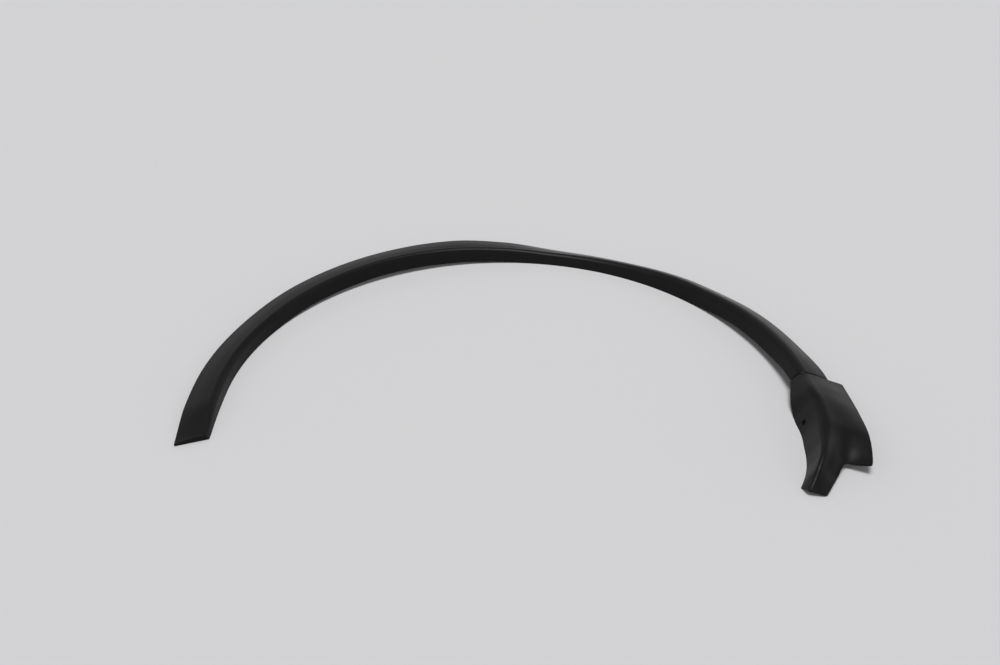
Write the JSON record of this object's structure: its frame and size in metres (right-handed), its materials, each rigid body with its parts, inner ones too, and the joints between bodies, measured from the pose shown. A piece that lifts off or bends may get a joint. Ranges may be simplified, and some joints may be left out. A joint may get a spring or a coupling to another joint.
{
  "type": "wheel arch trim",
  "caption": "Curved black plastic wheel arch trim: a long folded arch moulding and a wider end moulding with an apron and a leg, clipped around a car's wheel opening.",
  "frame": {"origin": "on the wheel's axis, in the plane that the trim rests on", "axes": "+Z outboard, which is up as the trim lies; +X from the wheel's axis towards the end moulding; +Y towards the top of the arch"},
  "size_m": [0.9459, 0.6803, 0.0386],
  "materials": {
    "black_plastic": "satin, fine moulded grain"
  },
  "bodies": {
    "root": {"arch_moulding": "black_plastic", "end_moulding": "black_plastic"}
  },
  "joints": []
}
